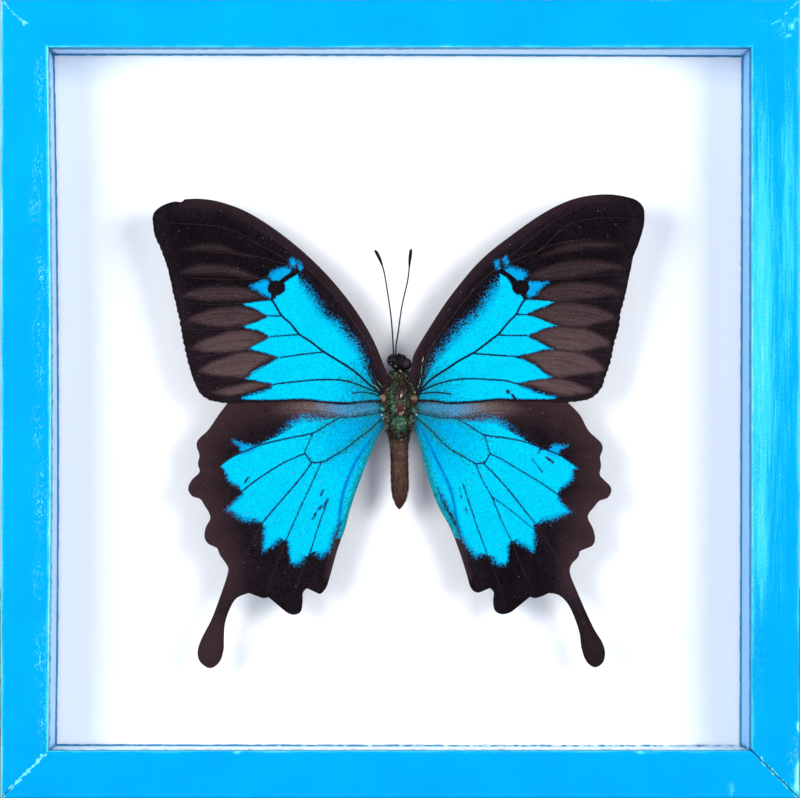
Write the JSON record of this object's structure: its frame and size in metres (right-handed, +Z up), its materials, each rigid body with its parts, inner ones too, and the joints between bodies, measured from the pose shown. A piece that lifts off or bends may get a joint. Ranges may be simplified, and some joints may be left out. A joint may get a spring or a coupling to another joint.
{
  "type": "framed butterfly specimen",
  "caption": "Spread blue swallowtail butterfly on a pin before a white card, in a square mitred wooden shadow-box frame painted bright blue, with a glass front.",
  "frame": {"origin": "middle of the box's footprint, at the bottom of the frame", "axes": "+X to the viewer's right, +Y from the glass towards the wall, +Z up"},
  "size_m": [0.17, 0.0336, 0.17],
  "materials": {
    "blue_paint": "wood with bright sky-blue matt paint, brushed thin and rubbed at the edges",
    "glass": "clear float glass",
    "foam_board": "matt foam board strip",
    "white_card": "matt white paper card",
    "hardboard": "pressed brown hardboard",
    "steel": "bright drawn and stamped steel",
    "brass": "stamped strip with a thin brass plating",
    "dark_chitin": "dark chitin under fine hairs and green scales",
    "brown_chitin": "brown chitin under short fine hairs",
    "wing_scales": "black and turquoise-blue wing scales"
  },
  "bodies": {
    "root": {"rail_top": "blue_paint", "rail_right": "blue_paint", "rail_bottom": "blue_paint", "rail_left": "blue_paint", "glass_pane": "glass", "liner_top": "foam_board", "liner_right": "foam_board", "liner_bottom": "foam_board", "liner_left": "foam_board", "mount_card": "white_card", "back_board": "hardboard", "retaining_point_1": "steel", "retaining_point_2": "steel", "retaining_point_3": "steel", "retaining_point_4": "steel", "retaining_point_5": "steel", "retaining_point_6": "steel", "retaining_point_7": "steel", "retaining_point_8": "steel", "hanger": "brass", "hanger_nail_left": "steel", "hanger_nail_right": "steel", "thorax": "dark_chitin", "abdomen": "brown_chitin", "head": "dark_chitin", "antenna_left": "dark_chitin", "antenna_right": "dark_chitin", "specimen_pin": "steel", "forewing_left": "wing_scales", "forewing_right": "wing_scales", "hindwing_left": "wing_scales", "hindwing_right": "wing_scales"}
  },
  "joints": []
}
